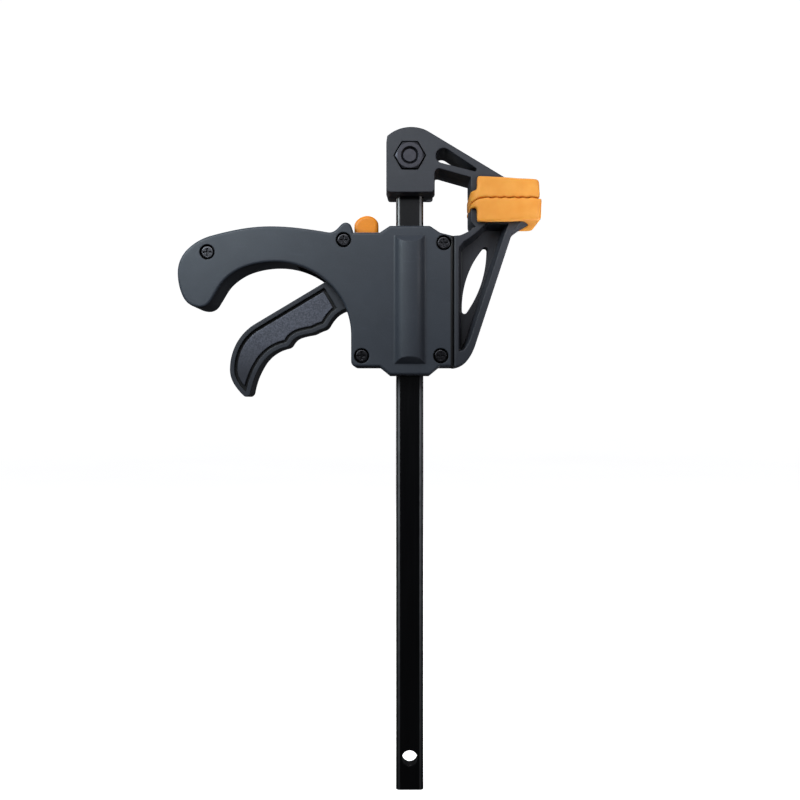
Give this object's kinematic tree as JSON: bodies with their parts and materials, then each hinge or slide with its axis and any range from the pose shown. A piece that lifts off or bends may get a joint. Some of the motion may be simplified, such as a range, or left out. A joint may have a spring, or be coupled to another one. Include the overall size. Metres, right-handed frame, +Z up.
{
  "type": "quick release bar clamp",
  "caption": "One-handed bar clamp: a trigger-driven jaw with handle, release button and soft pads slides along a flat steel bar towards a fixed jaw.",
  "frame": {"origin": "centre of the bar's free end face", "axes": "+Z up along the bar towards the fixed jaw, +X towards the clamping pads, -Y is the side with the nut and the cover screws"},
  "size_m": [0.0976, 0.0196, 0.1803],
  "materials": {
    "black_steel": "gloss",
    "dark_steel": "satin",
    "black_screw_steel": "satin",
    "bright_steel": "satin",
    "spring_steel": "satin",
    "black_plastic": "satin",
    "trigger_plastic": "satin",
    "orange_rubber": "matte",
    "orange_plastic": "satin"
  },
  "bodies": {
    "bar_with_jaw": {"bar": "black_steel", "fixed_jaw": "black_plastic", "jaw_bolt": "dark_steel", "jaw_nut": "dark_steel", "fixed_pad": "orange_rubber"},
    "carriage": {"front_cover": "black_plastic", "rear_cover": "black_plastic", "cover_screws": "black_screw_steel", "moving_jaw": "black_plastic", "moving_pad": "orange_rubber", "trigger_pin": "bright_steel", "drive_spring": "spring_steel", "brake_spring": "spring_steel"},
    "trigger_lever": {"trigger": "trigger_plastic"},
    "drive_plates": {"drive_plate_upper": "bright_steel", "drive_plate_lower": "bright_steel"},
    "brake": {"brake_plate": "bright_steel", "release_button": "orange_plastic"}
  },
  "joints": [
    {"name": "carriage_slide", "type": "slide", "parent": "bar_with_jaw", "child": "carriage", "axis": [0, 0, -1], "range_m": [0, 0.1016]},
    {"name": "trigger_squeeze", "type": "hinge", "parent": "carriage", "child": "trigger_lever", "pos_m": [-0.012, 0, 0.1364], "axis": [0, 1, 0], "range_deg": [0, 22], "stiffness_Nm_per_rad": 0.04, "springref_deg": -11.46},
    {"name": "plates_slide", "type": "slide", "parent": "carriage", "child": "drive_plates", "axis": [0, 0, -1], "range_m": [0, 0.00245], "deforming": ["drive_spring"]},
    {"name": "button_press", "type": "hinge", "parent": "carriage", "child": "brake", "pos_m": [0.0063, 0, 0.14397], "axis": [0, -1, 0], "range_deg": [0, 8], "stiffness_Nm_per_rad": 0.03, "springref_deg": -11.46, "deforming": ["brake_spring"]}
  ],
  "couplings": [
    {"joint": "plates_slide", "follows": "trigger_squeeze", "m_per_rad": 0.0063}
  ]
}
